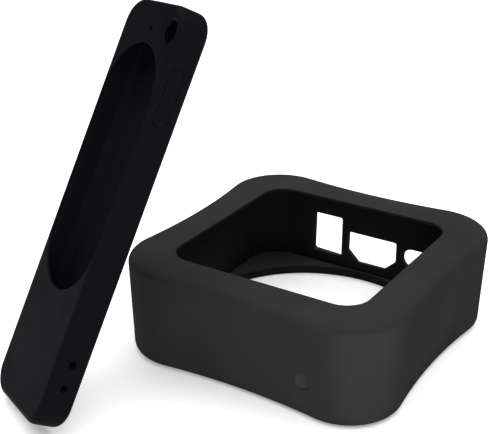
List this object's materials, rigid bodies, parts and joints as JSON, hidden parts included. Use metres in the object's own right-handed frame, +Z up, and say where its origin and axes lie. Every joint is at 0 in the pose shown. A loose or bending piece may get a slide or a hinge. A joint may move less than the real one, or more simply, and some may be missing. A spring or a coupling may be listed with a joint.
{
  "type": "media player sleeve set",
  "caption": "Pair of soft moulded protective sleeves: a square box sleeve with port openings for a streaming media player and a slim sleeve for its remote.",
  "frame": {"origin": "centre of the round opening in the floor of the box sleeve, at its underside, on the surface that both sleeves stand on", "axes": "+Z up out of the box sleeve's square top opening, +Y towards the wall with the port openings, so the wall with the status light window faces -Y; +X to the right seen from that front"},
  "size_m": [0.123, 0.1654, 0.1305],
  "materials": {
    "silicone_box": "matte",
    "silicone_remote": "matte",
    "light_window": "satin"
  },
  "bodies": {
    "box_sleeve": {"player_sleeve": "silicone_box", "status_light_window": "light_window"},
    "remote_cover": {"remote_sleeve_back": "silicone_remote", "remote_sleeve_wall": "silicone_remote", "remote_sleeve_chin": "silicone_remote", "remote_sleeve_brow": "silicone_remote"},
    "side_button": {"side_button_pad": "silicone_remote"}
  },
  "joints": [
    {"name": "remote_sleeve_lift", "type": "slide", "parent": "box_sleeve", "child": "remote_cover", "axis": [0, 0, 1], "range_m": [0, 0.06]},
    {"name": "side_button_press", "type": "slide", "parent": "remote_cover", "child": "side_button", "axis": [-0.8848, 0.4528, -0.1097], "range_m": [0, 0.0005], "stiffness_N_per_m": 1000}
  ]
}
